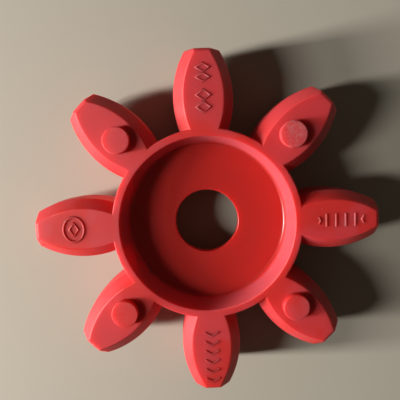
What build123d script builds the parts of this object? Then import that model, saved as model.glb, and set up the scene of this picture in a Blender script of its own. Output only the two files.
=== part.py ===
"""Elastomer spider of a backlash-free jaw coupling, moulded in one shot of polyurethane.

A star of crowned teeth stands round a ring, and their flat faces are flush with the ring's two faces. A thin web
closes the ring at mid width, with a round recess on each side of it and a hole in its middle. Small spacer pips
stand on the flat faces: on every second tooth they are on the upper face, and on the teeth between on the lower.

Frame: the origin is the spider's centre, +Z is the coupling's axis, and the first tooth points along +X.
Millimetres and degrees.
"""

import os

from build123d import *

# Driving dimensions
TIP_DIAMETER = 105.0  # over the tips of the teeth
WIDTH = 21.0  # from one flat face to the other, without the pips
TOOTH_COUNT = 8
MOULD_DRAFT = 1.5  # the mould opens at mid width, and the outer walls lean in from there

RING_OUTER_DIAMETER = 58.0
RING_MOUTH_DIAMETER = 53.4  # inside the ring, at its flat faces
RECESS_FLOOR_DIAMETER = 49.8
RECESS_FLOOR_FILLET = 0.9
RING_EDGE_FILLET = 0.4
WEB_THICKNESS = 3.0
CENTRE_HOLE_DIAMETER = 20.0
HOLE_EDGE_FILLET = 0.35

FLANK_RADIUS = 28.0  # the crown of a tooth's flank, seen along the axis
FLANK_MIDDLE_RADIUS = 38.0  # from the axis to the widest place of a tooth
TOOTH_MAX_WIDTH = 18.5
FLANK_BEVEL_WIDTH = 2.9  # in plan, along both flanks
FLANK_BEVEL_DEPTH = 4.0  # along the axis
TIP_BEVEL = 1.0  # at 45 degrees
TOOTH_EDGE_FILLET = 0.45

PIP_DIAMETER = 8.0
PIP_HEIGHT = 2.5
PIP_CIRCLE_DIAMETER = 73.8
PIP_EDGE_FILLET = 0.3
PIP_BURIED_LENGTH = 1.0  # the stretch of a pip that is inside its tooth

# Sizes that follow
HALF_WIDTH = WIDTH / 2
HALF_WEB = WEB_THICKNESS / 2
TIP_RADIUS = TIP_DIAMETER / 2
RING_OUTER_RADIUS = RING_OUTER_DIAMETER / 2
RING_MOUTH_RADIUS = RING_MOUTH_DIAMETER / 2
RECESS_FLOOR_RADIUS = RECESS_FLOOR_DIAMETER / 2
HOLE_RADIUS = CENTRE_HOLE_DIAMETER / 2
ROOT_RADIUS = (RING_OUTER_RADIUS + RING_MOUTH_RADIUS) / 2  # a tooth starts inside the ring's wall
FLANK_CENTRE_OFFSET = FLANK_RADIUS - TOOTH_MAX_WIDTH / 2
PIP_CIRCLE_RADIUS = PIP_CIRCLE_DIAMETER / 2
PIPS_PER_FACE = TOOTH_COUNT // 2
TOOTH_PITCH = 360 / TOOTH_COUNT

# Upper half of one tooth, along +X: a lens in plan, cut off at the tip circle and at its root inside the ring
with BuildPart() as tooth:
    with BuildSketch():
        with Locations((FLANK_MIDDLE_RADIUS, -FLANK_CENTRE_OFFSET)):
            Circle(FLANK_RADIUS)
        with Locations((FLANK_MIDDLE_RADIUS, FLANK_CENTRE_OFFSET)):
            Circle(FLANK_RADIUS, mode=Mode.INTERSECT)
        Circle(TIP_RADIUS, mode=Mode.INTERSECT)
        Circle(ROOT_RADIUS, mode=Mode.SUBTRACT)
    extrude(amount=HALF_WIDTH, taper=MOULD_DRAFT)

    flat_face = tooth.faces().sort_by(Axis.Z)[-1]
    flank_edges = flat_face.edges().sort_by(SortBy.LENGTH)[-2:]
    chamfer(flank_edges, length=FLANK_BEVEL_WIDTH, length2=FLANK_BEVEL_DEPTH, reference=flat_face)

    flat_face = tooth.faces().sort_by(Axis.Z)[-1]
    chamfer(flat_face.edges().sort_by(Axis.X)[-1], length=TIP_BEVEL)

    # Every other outer edge is softly rounded; the parting line and the buried root stay sharp
    above_parting = tooth.edges().filter_by(lambda edge: edge.center().Z > TIP_BEVEL)
    fillet(above_parting.filter_by(lambda edge: edge.center().X > RING_OUTER_RADIUS), TOOTH_EDGE_FILLET)

# One spacer pip on the upper face of the first tooth
with BuildPart() as pip:
    with BuildSketch(Plane.XY.offset(HALF_WIDTH - PIP_BURIED_LENGTH)):
        with Locations((PIP_CIRCLE_RADIUS, 0)):
            Circle(PIP_DIAMETER / 2)
    extrude(amount=PIP_BURIED_LENGTH + PIP_HEIGHT)
    fillet(pip.edges().group_by(Axis.Z)[-1], PIP_EDGE_FILLET)

# The spider: ring and web as one turned shape, then every tooth and pip
with BuildPart() as spider:
    with BuildSketch(Plane.XZ) as section:
        with BuildLine():
            Polyline(
                (HOLE_RADIUS, 0),
                (RING_OUTER_RADIUS, 0),
                (RING_OUTER_RADIUS, HALF_WIDTH),
                (RING_MOUTH_RADIUS, HALF_WIDTH),
                (RECESS_FLOOR_RADIUS, HALF_WEB),
                (HOLE_RADIUS, HALF_WEB),
                close=True,
            )
        make_face()
        fillet(section.vertices().sort_by_distance((RECESS_FLOOR_RADIUS, HALF_WEB))[0], RECESS_FLOOR_FILLET)
        fillet(section.vertices().sort_by_distance((HOLE_RADIUS, HALF_WEB))[0], HOLE_EDGE_FILLET)
        fillet(section.vertices().group_by(Axis.Y)[-1], RING_EDGE_FILLET)
        mirror(about=Plane.XZ)
    revolve(axis=Axis.Z)

    with PolarLocations(0, TOOTH_COUNT):
        add(tooth.part)
        add(tooth.part.mirror(Plane.XY))

    with PolarLocations(0, PIPS_PER_FACE, start_angle=TOOTH_PITCH):
        add(pip.part)
    with PolarLocations(0, PIPS_PER_FACE):
        add(pip.part.mirror(Plane.XY))

spider.part.label = "spider"

os.makedirs("parts", exist_ok=True)
export_step(spider.part, "parts/spider.step")
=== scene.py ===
"""Looks of a red polyurethane coupling spider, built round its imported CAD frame.

The body's shape is the CAD node's own. This script gives it its finish, and adds what the mould leaves on
it: raised marks on four teeth, and the fine flash where the two halves of the mould meet. It also sets up the
floor, the light and the camera. All sizes are in metres, in the CAD part's frame, where +Z is the coupling's
axis.
"""

import logging
import math
from dataclasses import dataclass
from enum import Enum
from typing import Any, Mapping, Sequence

import bpy
from mathutils import Matrix, Vector


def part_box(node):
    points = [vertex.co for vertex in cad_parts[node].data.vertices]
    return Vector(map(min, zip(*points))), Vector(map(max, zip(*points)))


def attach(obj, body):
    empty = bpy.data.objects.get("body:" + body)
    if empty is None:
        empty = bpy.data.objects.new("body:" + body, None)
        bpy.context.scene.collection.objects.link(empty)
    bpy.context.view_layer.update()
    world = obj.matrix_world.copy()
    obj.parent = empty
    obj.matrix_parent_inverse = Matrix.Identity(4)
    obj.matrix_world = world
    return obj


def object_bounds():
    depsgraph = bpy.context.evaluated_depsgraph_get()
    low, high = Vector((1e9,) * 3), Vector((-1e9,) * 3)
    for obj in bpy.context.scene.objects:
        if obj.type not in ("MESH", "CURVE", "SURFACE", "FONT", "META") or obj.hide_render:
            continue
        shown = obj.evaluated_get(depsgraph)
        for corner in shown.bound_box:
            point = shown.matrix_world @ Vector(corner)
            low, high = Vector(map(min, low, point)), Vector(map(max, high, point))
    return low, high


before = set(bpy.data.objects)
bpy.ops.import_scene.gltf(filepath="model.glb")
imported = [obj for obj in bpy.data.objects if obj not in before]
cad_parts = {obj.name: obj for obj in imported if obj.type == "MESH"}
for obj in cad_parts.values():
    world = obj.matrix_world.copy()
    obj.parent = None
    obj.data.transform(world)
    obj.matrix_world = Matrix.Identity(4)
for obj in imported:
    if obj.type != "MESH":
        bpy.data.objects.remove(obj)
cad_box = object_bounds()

log = logging.getLogger("spider")

MM = 0.001
BODY = "root"
NODE = "spider"

Colour = tuple[float, float, float]
Value = Any  # a number, a tuple, a data-block or a Channel


class Channel:
    """A node's output socket that takes part in Python arithmetic."""

    def __init__(self, graph: "Graph", socket: bpy.types.NodeSocket) -> None:
        """Wraps a socket of a graph."""
        self.graph = graph
        self.socket = socket

    def _math(self, operation: str, *values: Value) -> "Channel":
        """Adds one Math node over some values."""
        return self.graph.node("ShaderNodeMath", {"operation": operation}, dict(enumerate(values)))

    def __add__(self, other: Value) -> "Channel":
        """Sum."""
        return self._math("ADD", self, other)

    __radd__ = __add__

    def __sub__(self, other: Value) -> "Channel":
        """Difference."""
        return self._math("SUBTRACT", self, other)

    def __rsub__(self, other: Value) -> "Channel":
        """Difference, from the right."""
        return self._math("SUBTRACT", other, self)

    def __mul__(self, other: Value) -> "Channel":
        """Product."""
        return self._math("MULTIPLY", self, other)

    __rmul__ = __mul__

    def __truediv__(self, other: Value) -> "Channel":
        """Quotient."""
        return self._math("DIVIDE", self, other)

    def __rtruediv__(self, other: Value) -> "Channel":
        """Quotient, from the right."""
        return self._math("DIVIDE", other, self)

    def __abs__(self) -> "Channel":
        """Size without sign."""
        return self._math("ABSOLUTE", self)

    def at_least(self, other: Value) -> "Channel":
        """The larger of the two."""
        return self._math("MAXIMUM", self, other)


class Graph:
    """A node tree with one method that makes its nodes."""

    def __init__(self, tree: bpy.types.NodeTree) -> None:
        """Wraps a tree."""
        self.tree = tree

    def node(
        self,
        kind: str,
        settings: Mapping[str, Any] | None = None,
        inputs: Mapping[int | str, Value] | None = None,
        output: int | str = 0,
    ) -> Channel:
        """Adds a node, sets it, then fills its sockets.

        Args:
            kind: The node's type.
            settings: Properties of the node, set before its sockets.
            inputs: Values or channels, by socket index or name.
            output: The output socket to hand back.

        Returns:
            The chosen output as a channel.
        """
        node = self.tree.nodes.new(kind)
        for name, value in (settings or {}).items():
            setattr(node, name, value)
        for name, value in (inputs or {}).items():
            if isinstance(value, Channel):
                self.tree.links.new(value.socket, node.inputs[name])
            else:
                node.inputs[name].default_value = value
        return Channel(self, node.outputs[output])

    def step(self, value: Value, zero_at: float, one_at: float) -> Channel:
        """Blends smoothly from 0 to 1 between two values, whichever of them is the larger.

        Args:
            value: The channel to read.
            zero_at: The value from which the result is 0.
            one_at: The value from which the result is 1.

        Returns:
            The result, from 0 to 1.
        """
        ends = {"Value": value, "From Min": zero_at, "From Max": one_at}
        if one_at < zero_at:
            ends |= {"From Min": one_at, "From Max": zero_at, "To Min": 1.0, "To Max": 0.0}
        return self.node("ShaderNodeMapRange", {"interpolation_type": "SMOOTHSTEP"}, ends)

    def noise(self, place: Channel, size: float, detail: float = 2.0, rough: float = 0.5) -> Channel:
        """Adds a cloudy pattern.

        Args:
            place: Where to read it.
            size: About how large its blotches are, in metres.
            detail: How many finer layers lie over it.
            rough: How strong the finer layers are.

        Returns:
            The pattern, from 0 to 1.
        """
        inputs = {"Vector": place, "Scale": 1 / size, "Detail": detail, "Roughness": rough}
        return self.node("ShaderNodeTexNoise", {}, inputs)

    def mix_colour(self, factor: Value, first: Value, second: Value) -> Channel:
        """Blends two colours.

        Args:
            factor: 0 for the first colour, 1 for the second.
            first: A colour or a channel.
            second: A colour or a channel.

        Returns:
            The blended colour.
        """
        settings = {"data_type": "RGBA", "clamp_factor": True}
        colours = [c if isinstance(c, Channel) else (*c, 1.0) for c in (first, second)]
        return self.node("ShaderNodeMix", settings, {0: factor, 6: colours[0], 7: colours[1]}, output=2)

    def height(self, place: Channel) -> Channel:
        """How far a place is above mid width."""
        return self.node("ShaderNodeSeparateXYZ", inputs={0: place}, output="Z")

    def radius(self, place: Channel) -> Channel:
        """How far a place is from the coupling's axis."""
        flat = self.node("ShaderNodeVectorMath", {"operation": "MULTIPLY"}, {0: place, 1: (1, 1, 0)})
        return self.node("ShaderNodeVectorMath", {"operation": "LENGTH"}, {0: flat}, output="Value")


@dataclass(frozen=True)
class SpiderSizes:
    """The moulding's sizes that its finish and its marks are placed by, in metres."""

    tip_radius: float
    pip_top: float
    tooth_count: int = 8
    pip_height: float = 2.5 * MM
    pip_radius: float = 4.0 * MM
    pip_circle_radius: float = 36.9 * MM
    ring_radius: float = 29.0 * MM
    mouth_radius: float = 26.7 * MM
    flank_radius: float = 28.0 * MM
    flank_middle_radius: float = 38.0 * MM
    tooth_width: float = 18.5 * MM

    @classmethod
    def from_frame(cls) -> "SpiderSizes":
        """Takes the outer sizes from the CAD node's box."""
        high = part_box(NODE)[1]
        return cls(tip_radius=high.x, pip_top=high.z)

    @property
    def face_height(self) -> float:
        """Height of the upper flat faces above mid width."""
        return self.pip_top - self.pip_height

    @property
    def tooth_pitch(self) -> float:
        """Angle from one tooth to the next."""
        return math.tau / self.tooth_count


@dataclass(frozen=True)
class MouldedPolyurethane:
    """Satin, translucent red polyurethane, as it comes out of a steel mould."""

    name: str
    sizes: SpiderSizes
    body: Colour = (0.66, 0.046, 0.053)
    bare: Colour = (0.66, 0.026, 0.022)
    # Painted highlight: a paler pink laid on the recess walls, standing in for the pinkish sheen of the lit
    # wall.
    painted_wall_highlight: Colour = (0.62, 0.078, 0.094)
    # Painted shade: a darker, deeper red laid on the web, standing in for the shade and red interreflection
    # at the bottom of the recesses.
    painted_recess_shade: Colour = (0.56, 0.026, 0.021)
    scuffed: Colour = (0.62, 0.36, 0.37)
    wiped_patch_size: float = 16.0 * MM
    wiped_from: float = 0.5
    wiped_fully: float = 0.62
    roughness: float = 0.56
    mottle_size: float = 5.0 * MM
    mottle_spread: float = 0.12
    polished_roughness: float = 0.30
    polished_half_height: float = 2.6 * MM
    polished_blend: float = 0.9 * MM
    scuffed_extra_roughness: float = 0.2
    scratch_size: float = 1.1 * MM
    scuff_patch_size: float = 6.0 * MM
    scuff_least: float = 0.3
    scuff_everywhere: float = 0.08
    scuff_on_worst_pip: float = 0.28
    dust_spacing: float = 6.0 * MM
    dust_bare_share: float = 0.6
    dust_strength: float = 0.5
    speck_radius: float = 0.3 * MM
    grain_size: float = 0.35 * MM
    grain_depth: float = 0.02 * MM
    wave_size: float = 9.0 * MM
    wave_depth: float = 0.12 * MM
    bump_strength: float = 0.6
    glow_weight: float = 0.9
    glow_depth: float = 5.0 * MM
    glow_reach: Colour = (1.0, 0.08, 0.06)
    refraction: float = 1.5

    def build(self) -> bpy.types.Material:
        """Builds the material.

        Returns:
            The finished material.
        """
        material = bpy.data.materials.new(self.name)
        material.use_nodes = True
        graph = Graph(material.node_tree)
        place = graph.node("ShaderNodeTexCoord", output="Object")
        shader = material.node_tree.nodes["Principled BSDF"]
        shader.inputs["Subsurface Weight"].default_value = self.glow_weight
        shader.inputs["Subsurface Radius"].default_value = self.glow_reach
        shader.inputs["Subsurface Scale"].default_value = self.glow_depth
        shader.inputs["IOR"].default_value = self.refraction
        scuff = self._scuff(graph, place)
        web = self._web(graph, place)
        links = material.node_tree.links
        links.new(self._colour(graph, place, scuff, web).socket, shader.inputs["Base Color"])
        links.new(self._roughness(graph, place, scuff, web).socket, shader.inputs["Roughness"])
        links.new(self._bump(graph, place).socket, shader.inputs["Normal"])
        return material

    def _colour(self, graph: Graph, place: Channel, scuff: Channel, web: Channel) -> Channel:
        """Mixes the colour: red under a thin pale bloom, wiped off in places, with a paler pink painted on
        the recess walls as a highlight and a darker, deeper red painted on the web as shade at the bottom of
        the recesses.

        Args:
            graph: The material's graph.
            place: Object coordinates.
            scuff: Where the pips are rubbed.
            web: Where the web is, which is smoother and painted a darker red as shade in the recesses.

        Returns:
            The surface's colour.
        """
        cloud = graph.noise(place, self.wiped_patch_size, detail=2)
        wiped = graph.step(cloud, self.wiped_from, self.wiped_fully)
        colour = graph.mix_colour(wiped, self.body, self.bare)
        # Painted highlight: paler pink on the recess walls, in place of the lit wall's pinkish sheen.
        colour = graph.mix_colour(self._recess_wall(graph, place), colour, self.painted_wall_highlight)
        # Painted shade: darker, deeper red on the web at the bottom of the recesses.
        colour = graph.mix_colour(web, colour, self.painted_recess_shade)
        return graph.mix_colour(scuff.at_least(self._dust(graph, place)), colour, self.scuffed)

    def _roughness(self, graph: Graph, place: Channel, scuff: Channel, web: Channel) -> Channel:
        """Mixes the roughness: satin with a faint mottle, smoother on the web and duller on rubbed pips.

        Args:
            graph: The material's graph.
            place: Object coordinates.
            scuff: Where the pips are rubbed.
            web: Where the web is polished.

        Returns:
            The surface's roughness.
        """
        mottle = (graph.noise(place, self.mottle_size, detail=4) - 0.5) * self.mottle_spread
        smoothing = web * (self.polished_roughness - self.roughness)
        return smoothing + self.roughness + mottle + scuff * self.scuffed_extra_roughness

    def _scuff(self, graph: Graph, place: Channel) -> Channel:
        """Marks pale rubbed patches on the pips, strongest on the pip between the first two marked teeth.

        Args:
            graph: The material's graph.
            place: Object coordinates.

        Returns:
            How much the surface is rubbed, from 0 to 1.
        """
        sizes = self.sizes
        on_pip = graph.step(abs(graph.height(place)), sizes.pip_top - 0.35 * MM, sizes.pip_top - 0.1 * MM)
        scratches = graph.step(graph.noise(place, self.scratch_size, detail=6, rough=0.75), 0.34, 0.66)
        patches = graph.step(graph.noise(place, self.scuff_patch_size, detail=1), 0.35, 0.6)
        corner = sizes.pip_circle_radius * math.sqrt(0.5)
        ends = {0: place, 1: (corner, corner, sizes.pip_top)}
        away = graph.node("ShaderNodeVectorMath", {"operation": "DISTANCE"}, ends, output="Value")
        worst_pip = graph.step(away, sizes.pip_radius * 1.3, sizes.pip_radius)
        uneven = patches * (1 - self.scuff_least) + self.scuff_least
        return on_pip * scratches * uneven * (worst_pip * self.scuff_on_worst_pip + self.scuff_everywhere)

    def _dust(self, graph: Graph, place: Channel) -> Channel:
        """Scatters a few pale specks, one at most in each cell of a loose jumble.

        Args:
            graph: The material's graph.
            place: Object coordinates.

        Returns:
            How much dust lies there, from 0 to 1.
        """
        cells = {"Vector": place, "Scale": 1 / self.dust_spacing}
        away = graph.node("ShaderNodeTexVoronoi", {}, cells, output="Distance")
        pick = graph.node("ShaderNodeTexVoronoi", {}, cells, output="Color")
        draw = graph.node("ShaderNodeSeparateColor", inputs={0: pick})
        chosen = graph.step(draw, self.dust_bare_share - 0.05, self.dust_bare_share)
        return graph.step(away, self.speck_radius / self.dust_spacing, 0.0) * chosen * self.dust_strength

    def _web(self, graph: Graph, place: Channel) -> Channel:
        """Marks the two faces of the web, which polished cores have moulded, and where a darker red is
        painted on as shade at the bottom of the recesses.

        Args:
            graph: The material's graph.
            place: Object coordinates.

        Returns:
            1 on the web and 0 elsewhere.
        """
        height, mouth = self.polished_half_height, self.sizes.mouth_radius
        low = graph.step(abs(graph.height(place)), height, height - self.polished_blend)
        return low * graph.step(graph.radius(place), mouth, mouth - 0.5 * MM)

    def _recess_wall(self, graph: Graph, place: Channel) -> Channel:
        """Marks the walls of the two recesses, where a paler pink is painted on as a highlight.

        Args:
            graph: The material's graph.
            place: Object coordinates.

        Returns:
            1 on the walls and 0 elsewhere.
        """
        height, mouth = self.polished_half_height, self.sizes.mouth_radius
        high = graph.step(abs(graph.height(place)), height, height + self.polished_blend)
        return high * graph.step(graph.radius(place), mouth + 0.1 * MM, mouth - 0.1 * MM)

    def _bump(self, graph: Graph, place: Channel) -> Channel:
        """Adds the mould's fine spark-eroded grain over a very shallow waviness.

        Args:
            graph: The material's graph.
            place: Object coordinates.

        Returns:
            The surface's normal.
        """
        grain = graph.noise(place, self.grain_size, detail=2) * self.grain_depth
        wave = graph.noise(place, self.wave_size, detail=1) * self.wave_depth
        relief = {"Strength": self.bump_strength, "Distance": 1.0, "Height": grain + wave}
        return graph.node("ShaderNodeBump", {}, relief)


@dataclass(frozen=True)
class PaleFloorPaint:
    """Plain matt paint of one pale colour."""

    name: str = "pale_floor"
    colour: Colour = (0.47, 0.435, 0.355)
    roughness: float = 0.85
    shine: float = 0.2

    def build(self) -> bpy.types.Material:
        """Builds the material.

        Returns:
            The finished material.
        """
        material = bpy.data.materials.new(self.name)
        material.use_nodes = True
        shader = material.node_tree.nodes["Principled BSDF"]
        shader.inputs["Base Color"].default_value = (*self.colour, 1.0)
        shader.inputs["Roughness"].default_value = self.roughness
        shader.inputs["Specular IOR Level"].default_value = self.shine
        return material


def new_tree(name: str, sockets: Mapping[str, str]) -> tuple[Graph, dict[str, Channel]]:
    """Starts a Geometry Nodes tree with named inputs and one geometry output.

    Args:
        name: The tree's name.
        sockets: Socket types of its inputs, by name.

    Returns:
        The graph, and its inputs as channels.
    """
    tree = bpy.data.node_groups.new(name, "GeometryNodeTree")
    for label, kind in sockets.items():
        tree.interface.new_socket(label, in_out="INPUT", socket_type=kind)
    tree.interface.new_socket("Geometry", in_out="OUTPUT", socket_type="NodeSocketGeometry")
    graph = Graph(tree)
    source = tree.nodes.new("NodeGroupInput")
    return graph, {label: Channel(graph, source.outputs[label]) for label in sockets}


def close_tree(graph: Graph, shape: Channel, material: Channel) -> bpy.types.NodeTree:
    """Ends a tree with real geometry, smooth shading, its material and the group's output.

    Args:
        graph: The tree's graph.
        shape: The geometry to hand out.
        material: Its material.

    Returns:
        The finished tree.
    """
    real = graph.node("GeometryNodeRealizeInstances", inputs={0: shape})
    smooth = graph.node("GeometryNodeSetShadeSmooth", inputs={0: real})
    dressed = graph.node("GeometryNodeSetMaterial", inputs={"Geometry": smooth, "Material": material})
    end = graph.tree.nodes.new("NodeGroupOutput")
    graph.tree.links.new(dressed.socket, end.inputs[0])
    return graph.tree


def realise(
    name: str, tree: bpy.types.NodeTree, values: Mapping[str, Value], base: bpy.types.Mesh
) -> bpy.types.Object:
    """Runs a Geometry Nodes tree once and keeps its result as a plain mesh.

    Args:
        name: Name of the new piece.
        tree: The tree.
        values: Its inputs, by name.
        base: The mesh that the tree starts from.

    Returns:
        An object at the origin that holds the plain mesh.
    """
    piece = bpy.data.objects.new(name, base)
    bpy.context.scene.collection.objects.link(piece)
    modifier = piece.modifiers.new("shape", "NODES")
    modifier.node_group = tree
    for socket in tree.interface.items_tree:
        if socket.name in values:
            modifier[socket.identifier] = values[socket.name]
    bpy.context.view_layer.update()
    evaluated = piece.evaluated_get(bpy.context.evaluated_depsgraph_get())
    mesh = bpy.data.meshes.new_from_object(evaluated)
    piece.modifiers.remove(modifier)
    piece.data = mesh
    mesh.name = name
    return piece


@dataclass
class SpiderBody:
    """The moulding itself, whose shape is the CAD node's own."""

    node: str
    material: bpy.types.Material

    def dress(self) -> bpy.types.Object:
        """Gives the CAD node its finish.

        Returns:
            The CAD node.
        """
        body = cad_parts[self.node]
        body.data.materials.clear()
        body.data.materials.append(self.material)
        return body


class Glyph(Enum):
    """Plain shapes that the raised marks are made of."""

    BAR = "bar"
    CHEVRON = "chevron"
    DIAMOND = "diamond"
    RING = "ring"


@dataclass(frozen=True)
class MarkRow:
    """A row of equal raised marks along the middle of one tooth, in metres and degrees."""

    name: str
    glyph: Glyph
    tooth_angle: float
    middle_radius: float
    across: float
    along: float
    count: int = 1
    pitch: float = 0.0
    turn: float = 0.0


@dataclass
class RaisedMarks:
    """Plain raised marks on the upper faces of the teeth that carry no pips."""

    sizes: SpiderSizes
    material: bpy.types.Material
    stroke: float = 0.9 * MM
    sunk: float = 0.08 * MM
    stroke_sides: int = 12
    ring_sides: int = 40

    def rows(self) -> Sequence[MarkRow]:
        """Lists the marks of the four teeth, from the axis outwards on each.

        Returns:
            The rows.
        """
        bar, chevron, diamond, ring = Glyph
        return (
            MarkRow("marks_first_inner_chevron", chevron, 0, 33.6 * MM, 2.2 * MM, 1.4 * MM),
            MarkRow("marks_first_bars", bar, 0, 40.4 * MM, 3.9 * MM, 1.0 * MM, count=4, pitch=2.9 * MM),
            MarkRow("marks_first_outer_chevron", chevron, 0, 47.4 * MM, 2.2 * MM, 1.4 * MM, turn=180),
            MarkRow("marks_third_inner_diamonds", diamond, 90, 36.8 * MM, 4.3 * MM, 3.0 * MM, 2, 3.5 * MM),
            MarkRow("marks_third_outer_diamonds", diamond, 90, 45.1 * MM, 4.1 * MM, 2.4 * MM, 2, 2.8 * MM),
            MarkRow("marks_fifth_ring", ring, 180, 40.4 * MM, 7.4 * MM, 6.2 * MM),
            MarkRow("marks_fifth_diamond", diamond, 180, 40.4 * MM, 4.0 * MM, 2.8 * MM),
            MarkRow("marks_seventh_chevrons", chevron, 270, 41.0 * MM, 4.2 * MM, 2.6 * MM, 6, 2.95 * MM),
        )

    def tree(self, glyph: Glyph) -> bpy.types.NodeTree:
        """Builds the tree that repeats one glyph along a line.

        Args:
            glyph: The shape to repeat.

        Returns:
            The tree, with its sizes as named inputs.
        """
        sockets = dict.fromkeys(("Pitch", "Across", "Along", "Stroke", "Turn"), "NodeSocketFloat")
        sockets |= {"Count": "NodeSocketInt", "Material": "NodeSocketMaterial"}
        graph, given = new_tree(f"raised_{glyph.value}", sockets)
        half_sides = {"X": given["Along"] * 0.5, "Y": given["Across"] * 0.5}
        size = graph.node("ShaderNodeCombineXYZ", inputs=half_sides)
        unit = self._unit_line(graph, glyph)
        line = graph.node("GeometryNodeTransform", inputs={"Geometry": unit, "Scale": size})
        round_stroke = {"Resolution": self.stroke_sides, "Radius": given["Stroke"] * 0.5}
        section = graph.node("GeometryNodeCurvePrimitiveCircle", inputs=round_stroke)
        bead = graph.node("GeometryNodeCurveToMesh", inputs={0: line, 1: section, "Fill Caps": True})
        first = (given["Count"] - 1) * given["Pitch"] * -0.5
        spread = {
            "Count": given["Count"],
            "Start Location": graph.node("ShaderNodeCombineXYZ", inputs={"X": first}),
            "Offset": graph.node("ShaderNodeCombineXYZ", inputs={"X": given["Pitch"]}),
        }
        places = graph.node("GeometryNodeMeshLine", inputs=spread)
        turn = graph.node("ShaderNodeCombineXYZ", inputs={"Z": given["Turn"]})
        copies = {"Points": places, "Instance": bead, "Rotation": turn}
        row = graph.node("GeometryNodeInstanceOnPoints", inputs=copies)
        return close_tree(graph, row, given["Material"])

    def _unit_line(self, graph: Graph, glyph: Glyph) -> Channel:
        """Draws the centre line of one glyph, which reaches 1 to either side of its middle.

        Args:
            graph: The tree's graph.
            glyph: The shape.

        Returns:
            The line as a curve.
        """
        if glyph is Glyph.BAR:
            ends = {"Start": (0, -1, 0), "End": (0, 1, 0)}
            return graph.node("GeometryNodeCurvePrimitiveLine", inputs=ends)
        if glyph is Glyph.CHEVRON:
            bent = {"Resolution": 3, "Radius": 1.0, "Start Angle": -math.pi / 2, "Sweep Angle": math.pi}
            return graph.node("GeometryNodeCurveArc", inputs=bent)
        sides = 4 if glyph is Glyph.DIAMOND else self.ring_sides
        return graph.node("GeometryNodeCurvePrimitiveCircle", inputs={"Resolution": sides, "Radius": 1.0})

    def build(self) -> list[bpy.types.Object]:
        """Makes every row.

        Returns:
            The finished pieces.
        """
        trees = {glyph: self.tree(glyph) for glyph in Glyph}
        return [self._row(row, trees[row.glyph]) for row in self.rows()]

    def _row(self, row: MarkRow, tree: bpy.types.NodeTree) -> bpy.types.Object:
        """Makes one row and lays it on its tooth.

        Args:
            row: What the row holds and where.
            tree: The tree of its glyph.

        Returns:
            The finished piece.
        """
        values = {
            "Count": row.count,
            "Pitch": row.pitch,
            "Across": row.across,
            "Along": row.along,
            "Stroke": self.stroke,
            "Turn": math.radians(row.turn),
            "Material": self.material,
        }
        piece = realise(row.name, tree, values, bpy.data.meshes.new(row.name))
        place = Matrix.Rotation(math.radians(row.tooth_angle), 4, "Z")
        place @= Matrix.Translation((row.middle_radius, 0, self.sizes.face_height - self.sunk))
        piece.data.transform(place)
        return piece


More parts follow.
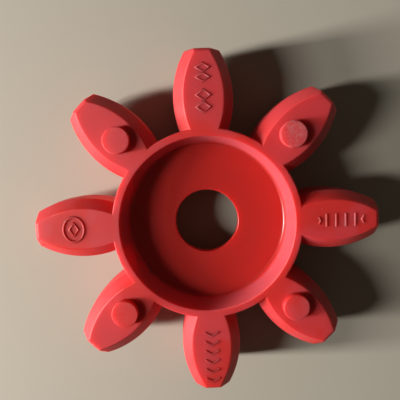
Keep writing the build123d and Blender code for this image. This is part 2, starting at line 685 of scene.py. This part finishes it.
@dataclass
class MouldFlash:
    """The fine ridge round the spider at mid width, where the two halves of the mould meet."""

    sizes: SpiderSizes
    material: bpy.types.Material
    thickness: float = 0.16 * MM
    thickness_sides: int = 6
    point_gap: float = 0.8 * MM
    unevenness_size: float = 6.0 * MM
    thinnest: float = 0.3
    thickness_spread: float = 1.4

    def pitch_outline(self) -> list[Vector]:
        """Follows the outer wall at mid width over half a gap, one tooth and half a gap.

        Returns:
            Points from minus half a tooth pitch to plus half a tooth pitch.
        """
        sizes = self.sizes
        offset = sizes.flank_radius - sizes.tooth_width / 2
        root = self._meet(sizes.ring_radius, offset)
        tip = self._meet(sizes.tip_radius, offset)
        start = math.asin(min(1, (root.x - sizes.flank_middle_radius) / sizes.flank_radius))
        end = math.asin(min(1, (tip.x - sizes.flank_middle_radius) / sizes.flank_radius))
        centre = Vector((sizes.flank_middle_radius, -offset, 0))
        half = self._arc(Vector(), sizes.tip_radius, 0.0, math.atan2(tip.y, tip.x))
        half += self._arc(centre, sizes.flank_radius, math.pi / 2 - end, math.pi / 2 - start)[1:]
        half += self._arc(Vector(), sizes.ring_radius, math.atan2(root.y, root.x), sizes.tooth_pitch / 2)[1:]
        mirrored = [Vector((point.x, -point.y, 0)) for point in reversed(half)]
        return mirrored + half[1:]

    def _meet(self, radius: float, offset: float) -> Vector:
        """Finds where the upper flank's circle crosses a circle about the axis.

        Args:
            radius: Radius of the circle about the axis.
            offset: How far the flank circle's centre lies beyond the tooth's middle line.

        Returns:
            The crossing.
        """
        sizes = self.sizes
        far = math.hypot(sizes.flank_middle_radius, offset)
        cosine = (radius**2 + far**2 - sizes.flank_radius**2) / (2 * radius * far)
        angle = math.atan2(-offset, sizes.flank_middle_radius) + math.acos(cosine)
        return Vector((radius * math.cos(angle), radius * math.sin(angle), 0))

    def _arc(self, centre: Vector, radius: float, start: float, end: float) -> list[Vector]:
        """Spaces points evenly along an arc.

        Args:
            centre: The arc's centre.
            radius: Its radius.
            start: Angle of its first point.
            end: Angle of its last point.

        Returns:
            The points, both ends included.
        """
        count = max(2, math.ceil(abs(end - start) * radius / self.point_gap))
        angles = [start + (end - start) * i / count for i in range(count + 1)]
        return [centre + radius * Vector((math.cos(a), math.sin(a), 0)) for a in angles]

    def tree(self) -> bpy.types.NodeTree:
        """Builds the tree that repeats one pitch round the axis and runs an uneven ridge along it.

        Returns:
            The tree, with its sizes as named inputs.
        """
        sockets = {
            "Geometry": "NodeSocketGeometry",
            "Tooth Count": "NodeSocketInt",
            "Thickness": "NodeSocketFloat",
            "Merge Distance": "NodeSocketFloat",
            "Material": "NodeSocketMaterial",
        }
        graph, given = new_tree("mould_flash", sockets)
        index = graph.node("GeometryNodeInputIndex")
        turn = graph.node("ShaderNodeCombineXYZ", inputs={"Z": index * math.tau / given["Tooth Count"]})
        places = graph.node("GeometryNodePoints", inputs={"Count": given["Tooth Count"]})
        pitches = {"Points": places, "Instance": given["Geometry"], "Rotation": turn}
        copies = graph.node("GeometryNodeInstanceOnPoints", inputs=pitches)
        whole = graph.node("GeometryNodeRealizeInstances", inputs={0: copies})
        joined = {"Geometry": whole, "Distance": given["Merge Distance"]}
        loop = graph.node("GeometryNodeMergeByDistance", inputs=joined)
        line = graph.node("GeometryNodeMeshToCurve", inputs={"Mesh": loop})
        uneven = graph.node("ShaderNodeTexNoise", {}, {"Scale": 1 / self.unevenness_size, "Detail": 3.0})
        thinned = {"Curve": line, "Radius": uneven * self.thickness_spread + self.thinnest}
        ridge = graph.node("GeometryNodeSetCurveRadius", inputs=thinned)
        round_ridge = {"Resolution": self.thickness_sides, "Radius": given["Thickness"] * 0.5}
        section = graph.node("GeometryNodeCurvePrimitiveCircle", inputs=round_ridge)
        bead = graph.node("GeometryNodeCurveToMesh", inputs={0: ridge, 1: section})
        return close_tree(graph, bead, given["Material"])

    def build(self) -> bpy.types.Object:
        """Makes the ridge.

        Returns:
            The finished piece.
        """
        points = self.pitch_outline()
        base = bpy.data.meshes.new("mould_flash")
        base.from_pydata(points, [(i, i + 1) for i in range(len(points) - 1)], [])
        values = {
            "Tooth Count": self.sizes.tooth_count,
            "Thickness": self.thickness,
            "Merge Distance": self.point_gap / 50,
            "Material": self.material,
        }
        return realise("mould_flash", self.tree(), values, base)


def aimed(eye: Vector, aim: Vector, up: Vector) -> Matrix:
    """Works out a pose that looks down its own -Z.

    Args:
        eye: Where it stands.
        aim: What it looks at.
        up: The direction that its +Y leans towards.

    Returns:
        The pose.
    """
    back = (eye - aim).normalized()
    right = up.cross(back).normalized()
    pose = Matrix((right, back.cross(right), back)).transposed().to_4x4()
    pose.translation = eye
    return pose


@dataclass(frozen=True)
class Pane:
    """One soft oblong light, sized and placed by the angles it is seen under, in degrees."""

    name: str
    elevation: float
    height: float
    power: float
    azimuth: float = 186.0
    width: float = 6.0
    distance: float = 0.7
    colour: Colour = (1.0, 0.97, 0.95)

    def build(self) -> None:
        """Makes the light, facing the middle of the part."""
        light = bpy.data.lights.new(self.name, "AREA")
        light.shape = "RECTANGLE"
        light.size = self._span(self.width)
        light.size_y = self._span(self.height)
        light.energy = self.power
        light.color = self.colour
        lamp = bpy.data.objects.new(self.name, light)
        bpy.context.scene.collection.objects.link(lamp)
        azimuth, elevation = math.radians(self.azimuth), math.radians(self.elevation)
        level = math.cos(elevation)
        toward = Vector((math.cos(azimuth) * level, math.sin(azimuth) * level, math.sin(elevation)))
        lamp.matrix_world = aimed(toward * self.distance, Vector(), Vector((0, 0, 1)))

    def _span(self, angle: float) -> float:
        """The length that fills an angle at the light's distance."""
        return 2 * self.distance * math.tan(math.radians(angle / 2))


@dataclass(frozen=True)
class Studio:
    """A plain pale floor, a soft window-like light from the left, and a camera high above."""

    floor_level: float
    floor_size: float = 6.0
    contact_gap: float = 0.03 * MM
    paint: PaleFloorPaint = PaleFloorPaint()
    panes: tuple[Pane, ...] = (
        Pane("upper_pane", elevation=40.5, height=15.0, power=2.58, azimuth=188.0),
        Pane("lower_pane", elevation=19.0, height=19.0, power=7.2),
    )
    fill_colour: Colour = (0.95, 0.86, 0.68)
    fill_strength: float = 0.042
    eye: Vector = Vector((-2.96, 20.55, 143.36)) * MM
    aim: Vector = Vector((-2.01, 6.55, 0.0)) * MM
    camera_turn: float = 2.08
    lens: float = 40.0

    def build(self) -> None:
        """Makes the floor, the lights and the camera."""
        self._floor()
        self._lights()
        self._camera()

    def _floor(self) -> None:
        """Lays the surface that the spider lies on, a hair below it so that the two never coincide."""
        half = self.floor_size / 2
        level = self.floor_level - self.contact_gap
        mesh = bpy.data.meshes.new("floor")
        corners = [(-half, -half), (half, -half), (half, half), (-half, half)]
        mesh.from_pydata([(x, y, level) for x, y in corners], [], [(0, 1, 2, 3)])
        mesh.materials.append(self.paint.build())
        floor = bpy.data.objects.new("floor", mesh)
        bpy.context.scene.collection.objects.link(floor)

    def _lights(self) -> None:
        """Hangs the window's panes and sets an even fill from all round."""
        for pane in self.panes:
            pane.build()
        world = bpy.data.worlds.new("studio")
        world.use_nodes = True
        background = world.node_tree.nodes["Background"]
        background.inputs["Color"].default_value = (*self.fill_colour, 1.0)
        background.inputs["Strength"].default_value = self.fill_strength
        bpy.context.scene.world = world
        bpy.context.scene.view_settings.view_transform = "Standard"

    def _camera(self) -> None:
        """Sets the camera almost straight above, turned a little."""
        camera = bpy.data.cameras.new("camera")
        camera.lens = self.lens
        camera.clip_start = 0.01
        holder = bpy.data.objects.new("camera", camera)
        bpy.context.scene.collection.objects.link(holder)
        turn = math.radians(self.camera_turn)
        holder.matrix_world = aimed(self.eye, self.aim, Vector((math.sin(turn), math.cos(turn), 0)))
        bpy.context.scene.camera = holder


def report(piece: bpy.types.Object) -> None:
    """Logs one piece."""
    log.info("%s: %d faces", piece.name, len(piece.data.polygons))


def main() -> None:
    """Builds the pieces in order and reports each one."""
    logging.basicConfig(level=logging.INFO, format="%(message)s")
    sizes = SpiderSizes.from_frame()
    red = MouldedPolyurethane("red_polyurethane", sizes).build()
    report(SpiderBody(NODE, red).dress())
    for piece in [*RaisedMarks(sizes, red).build(), MouldFlash(sizes, red).build()]:
        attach(piece, BODY)
        report(piece)
    Studio(floor_level=cad_box[0][2]).build()


if __name__ == "__main__":
    main()
